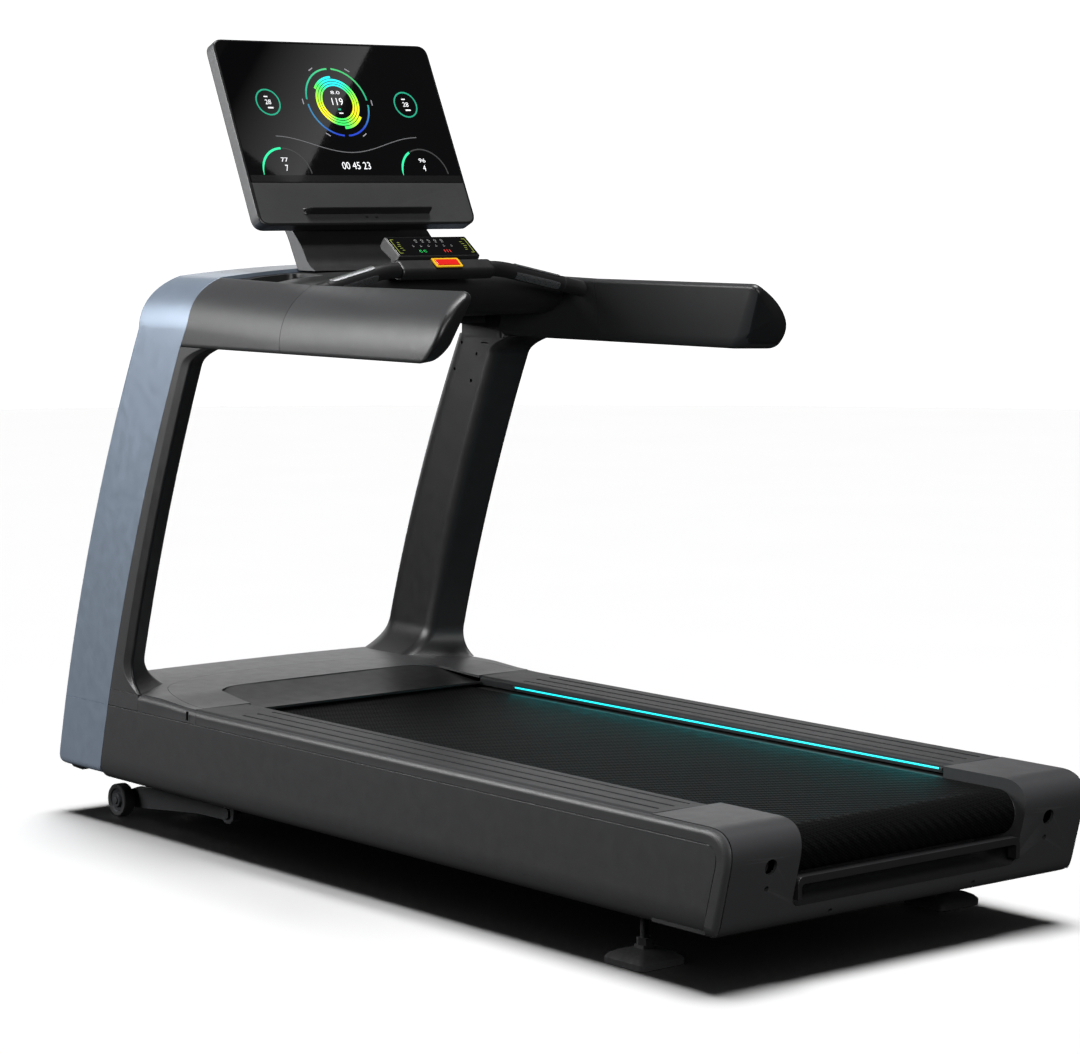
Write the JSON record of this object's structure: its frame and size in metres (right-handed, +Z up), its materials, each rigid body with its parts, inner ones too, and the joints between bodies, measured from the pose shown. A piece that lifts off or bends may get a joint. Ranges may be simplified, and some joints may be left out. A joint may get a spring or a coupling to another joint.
{
  "type": "motorised treadmill",
  "caption": "Full-height gym treadmill with a wide flat belt, side foot rails, slanted uprights, arm rails, pulse handlebar and a large tilted display",
  "frame": {"origin": "the point on the floor below the middle of the machine's length and width", "axes": "+X to the runner's right, +Y forward to the console, +Z up"},
  "size_m": [0.91, 2.1952, 1.6913],
  "materials": {
    "charcoal_shell": "satin charcoal moulded plastic",
    "black_shell": "black satin moulded plastic",
    "blue_fascia": "blue-grey metallic paint",
    "light_strip": "lit cyan light guide",
    "belt": "black belt with a fine diamond texture",
    "frame_steel": "black powder coat",
    "brushed_steel": "brushed along its length",
    "rubber": "matt black rubber",
    "display_glass": "glossy black cover with a lit read-out",
    "stop_red": "glossy red",
    "stop_yellow": "glossy yellow",
    "deck_board": "black phenolic-faced board",
    "bare_metal": "machined and cast metal"
  },
  "bodies": {
    "base": {"left_side_panel": "charcoal_shell", "right_side_panel": "charcoal_shell", "left_side_trim": "charcoal_shell", "right_side_trim": "charcoal_shell", "left_foot_rail": "charcoal_shell", "right_foot_rail": "charcoal_shell", "left_upright": "charcoal_shell", "right_upright": "charcoal_shell", "left_arm_cover": "charcoal_shell", "right_arm_cover": "charcoal_shell", "rear_cover": "charcoal_shell", "motor_hood": "charcoal_shell", "front_deck": "charcoal_shell", "front_panel": "black_shell", "power_inlet": "black_shell", "console_housing": "black_shell", "display_post": "black_shell", "display_shell": "black_shell", "handlebar_hub": "black_shell", "keypad_housing": "black_shell", "left_handrail": "black_shell", "right_handrail": "black_shell", "left_handlebar": "black_shell", "right_handlebar": "black_shell", "left_fascia": "blue_fascia", "right_fascia": "blue_fascia", "top_arch": "blue_fascia", "left_light_strip": "light_strip", "right_light_strip": "light_strip", "running_belt": "belt", "upright_frame": "frame_steel", "front_cross_tube": "frame_steel", "rear_cross_tube": "frame_steel", "left_chassis_rail": "frame_steel", "right_chassis_rail": "frame_steel", "left_pulse_plate": "brushed_steel", "right_pulse_plate": "brushed_steel", "left_deck_cushion": "rubber", "right_deck_cushion": "rubber", "drive_belt": "rubber", "display_glass": "display_glass", "stop_bezel": "stop_yellow", "running_deck": "deck_board", "front_axle": "bare_metal", "rear_axle": "bare_metal", "drive_motor": "bare_metal", "controller": "bare_metal", "lift_motor": "bare_metal"},
    "front_roller": {"front_roller": "brushed_steel", "roller_pulley": "bare_metal"},
    "rear_roller": {"rear_roller": "brushed_steel"},
    "motor_rotor": {"motor_pulley": "bare_metal"},
    "lift_frame": {"lift_frame": "frame_steel"},
    "lift_screw": {"lift_screw": "brushed_steel"},
    "left_wheel": {"left_wheel": "rubber"},
    "right_wheel": {"right_wheel": "rubber"},
    "left_foot": {"left_levelling_foot": "rubber"},
    "right_foot": {"right_levelling_foot": "rubber"},
    "stop_button": {"stop_button": "stop_red"},
    "power_switch": {"power_switch": "stop_red"}
  },
  "joints": [
    {"name": "front_roller_spin", "type": "hinge", "parent": "base", "child": "front_roller", "pos_m": [0, 0.61843, 0.231], "axis": [1, 0, 0], "continuous": true},
    {"name": "rear_roller_spin", "type": "hinge", "parent": "base", "child": "rear_roller", "pos_m": [0, -1.03357, 0.231], "axis": [1, 0, 0], "continuous": true},
    {"name": "motor_spin", "type": "hinge", "parent": "base", "child": "motor_rotor", "pos_m": [0, 0.81843, 0.192], "axis": [1, 0, 0], "continuous": true},
    {"name": "lift_swing", "type": "hinge", "parent": "base", "child": "lift_frame", "pos_m": [0, 0.56343, 0.064], "axis": [-1, 0, 0], "range_deg": [0, 43]},
    {"name": "lift_screw_slide", "type": "slide", "parent": "base", "child": "lift_screw", "axis": [0, -0.3665, -0.9304], "range_m": [0, 0.0955]},
    {"name": "left_wheel_spin", "type": "hinge", "parent": "lift_frame", "child": "left_wheel", "pos_m": [-0.376, 0.96343, 0.036], "axis": [1, 0, 0], "continuous": true},
    {"name": "right_wheel_spin", "type": "hinge", "parent": "lift_frame", "child": "right_wheel", "pos_m": [0.376, 0.96343, 0.036], "axis": [1, 0, 0], "continuous": true},
    {"name": "left_foot_level", "type": "slide", "parent": "base", "child": "left_foot", "axis": [0, 0, -1], "range_m": [0, 0.015]},
    {"name": "right_foot_level", "type": "slide", "parent": "base", "child": "right_foot", "axis": [0, 0, -1], "range_m": [0, 0.015]},
    {"name": "stop_button_press", "type": "slide", "parent": "base", "child": "stop_button", "axis": [0, 0.6225, -0.7826], "range_m": [0, 0.004], "stiffness_N_per_m": 800},
    {"name": "power_switch_rock", "type": "hinge", "parent": "base", "child": "power_switch", "pos_m": [0.195, 1.07643, 0.148], "axis": [1, 0, 0], "range_deg": [0, 12]}
  ],
  "couplings": [
    {"joint": "rear_roller_spin", "follows": "front_roller_spin", "ratio": 1},
    {"joint": "motor_spin", "follows": "front_roller_spin", "ratio": 1.7037},
    {"joint": "lift_screw_slide", "follows": "lift_swing", "m_per_rad": 0.12697}
  ]
}
